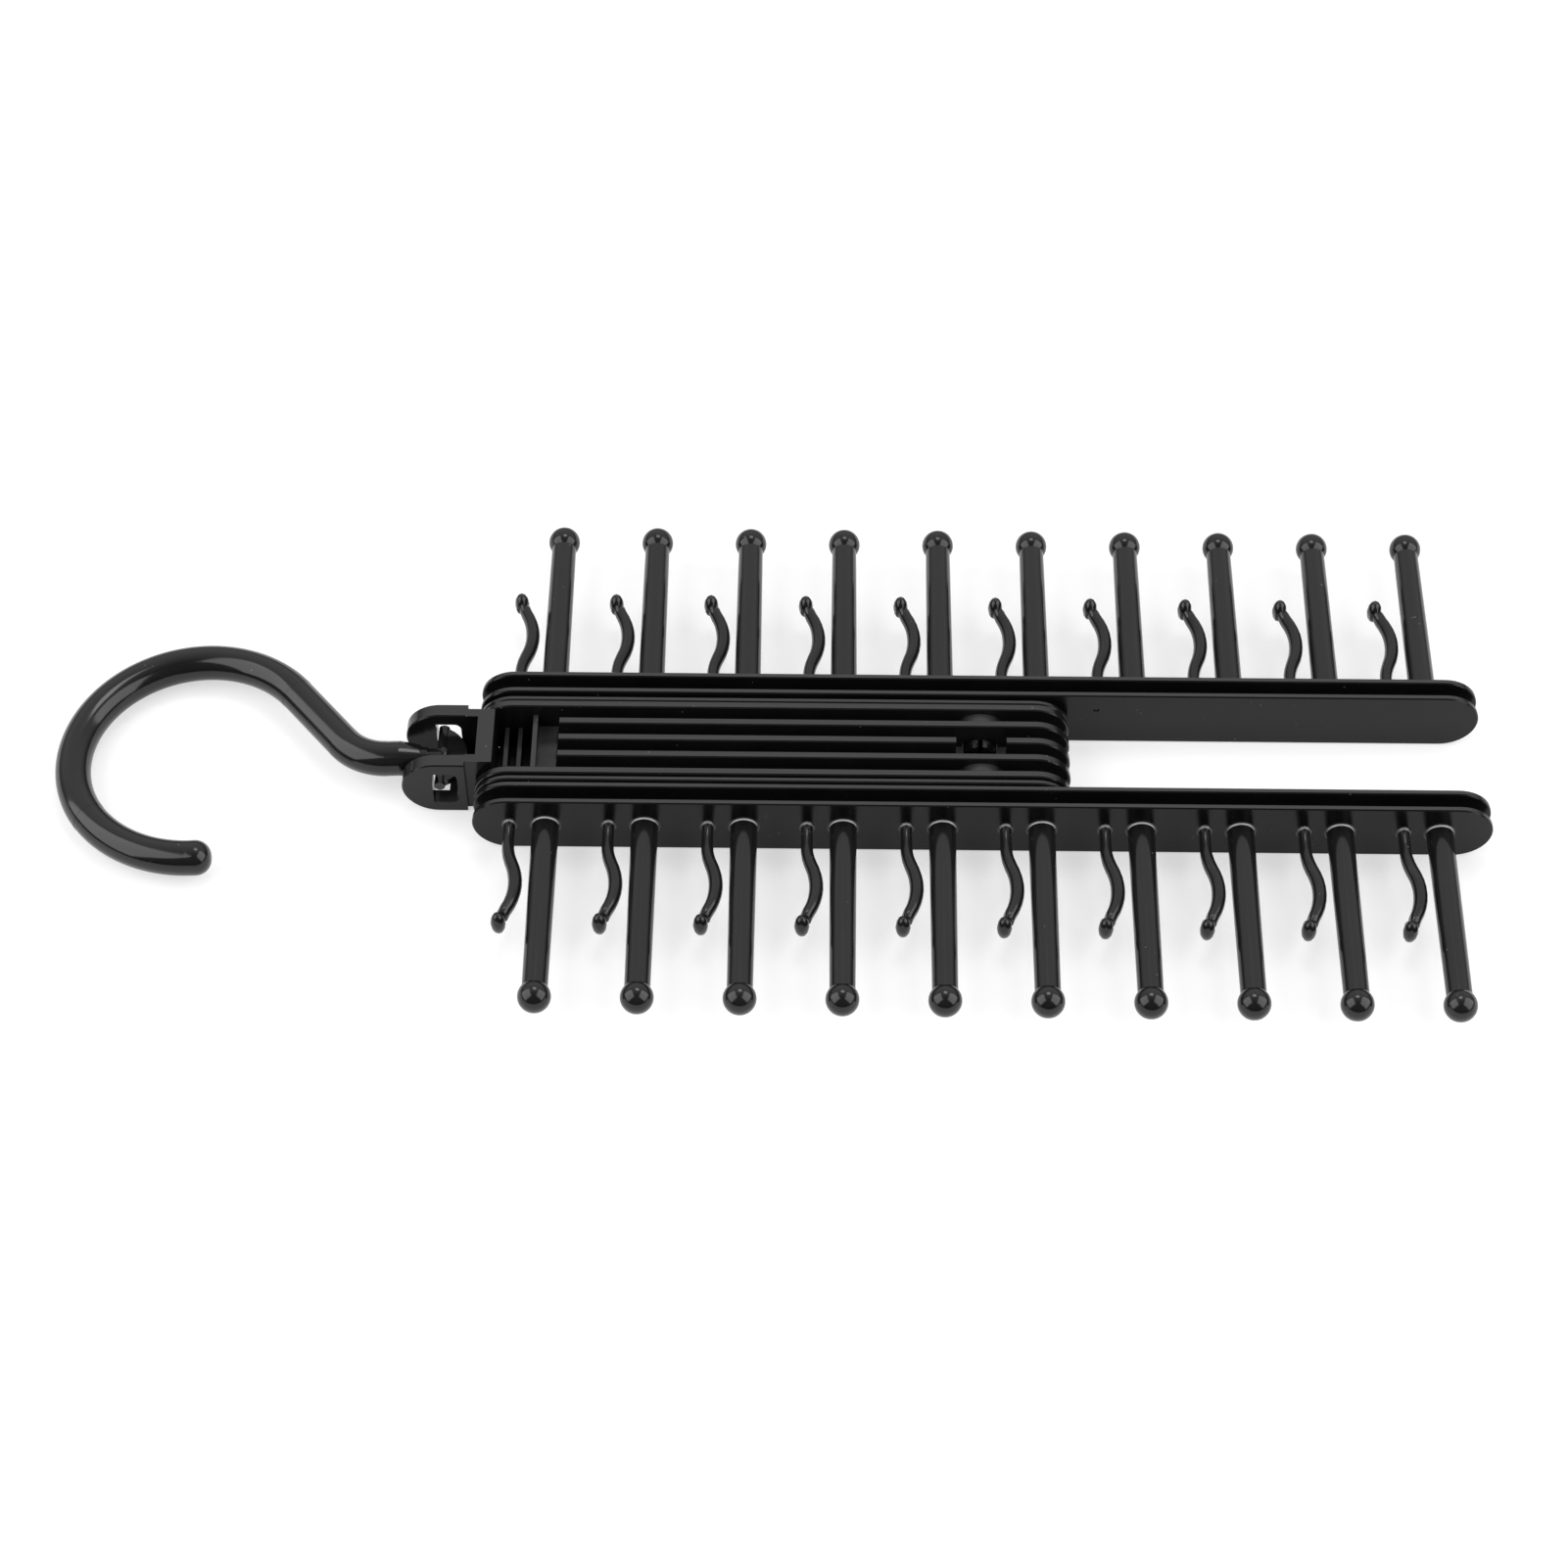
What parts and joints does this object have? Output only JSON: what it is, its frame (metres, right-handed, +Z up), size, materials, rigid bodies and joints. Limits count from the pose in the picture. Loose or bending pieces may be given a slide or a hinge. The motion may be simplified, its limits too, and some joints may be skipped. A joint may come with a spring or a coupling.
{
  "type": "tie hanger",
  "caption": "Folding tie hanger: a hook on a long stem, with two rails that hinge at their middle, each with a row of round pegs and springy clips.",
  "frame": {"origin": "middle of the closed hanger's footprint, on the table that it lies on", "axes": "+X along the stem, from the hook to the free ends of the rails; +Y across the stem, along the back rail's pegs; +Z up from the table"},
  "size_m": [0.3658, 0.1562, 0.0184],
  "materials": {
    "stem_plastic": "glossy black moulded plastic",
    "hook_plastic": "glossy black moulded plastic, a little smoother on the rod",
    "rail_plastic": "glossy black moulded plastic"
  },
  "bodies": {
    "stem": {"stem": "stem_plastic", "front_side_plate": "stem_plastic", "back_side_plate": "stem_plastic", "yoke": "hook_plastic"},
    "hook": {"hook": "hook_plastic"},
    "front_rail": {"front_rail": "rail_plastic", "front_peg_1": "rail_plastic", "front_peg_2": "rail_plastic", "front_peg_3": "rail_plastic", "front_peg_4": "rail_plastic", "front_peg_5": "rail_plastic", "front_peg_6": "rail_plastic", "front_peg_7": "rail_plastic", "front_peg_8": "rail_plastic", "front_peg_9": "rail_plastic", "front_peg_10": "rail_plastic", "front_clip_1": "rail_plastic", "front_clip_2": "rail_plastic", "front_clip_3": "rail_plastic", "front_clip_4": "rail_plastic", "front_clip_5": "rail_plastic", "front_clip_6": "rail_plastic", "front_clip_7": "rail_plastic", "front_clip_8": "rail_plastic", "front_clip_9": "rail_plastic", "front_clip_10": "rail_plastic"},
    "back_rail": {"back_rail": "rail_plastic", "back_peg_1": "rail_plastic", "back_peg_2": "rail_plastic", "back_peg_3": "rail_plastic", "back_peg_4": "rail_plastic", "back_peg_5": "rail_plastic", "back_peg_6": "rail_plastic", "back_peg_7": "rail_plastic", "back_peg_8": "rail_plastic", "back_peg_9": "rail_plastic", "back_peg_10": "rail_plastic", "back_clip_1": "rail_plastic", "back_clip_2": "rail_plastic", "back_clip_3": "rail_plastic", "back_clip_4": "rail_plastic", "back_clip_5": "rail_plastic", "back_clip_6": "rail_plastic", "back_clip_7": "rail_plastic", "back_clip_8": "rail_plastic", "back_clip_9": "rail_plastic", "back_clip_10": "rail_plastic"}
  },
  "joints": [
    {"name": "hook_tilt", "type": "hinge", "parent": "stem", "child": "hook", "pos_m": [-0.08308, 0, 0.0092], "axis": [0, 1, 0], "range_deg": [-68, 98]},
    {"name": "front_rail_pivot", "type": "hinge", "parent": "stem", "child": "front_rail", "pos_m": [0.05442, 0, 0.0092], "axis": [0, 1, 0], "range_deg": [-90, 90]},
    {"name": "back_rail_pivot", "type": "hinge", "parent": "stem", "child": "back_rail", "pos_m": [0.05442, 0, 0.0092], "axis": [0, 1, 0], "range_deg": [-90, 90]}
  ]
}
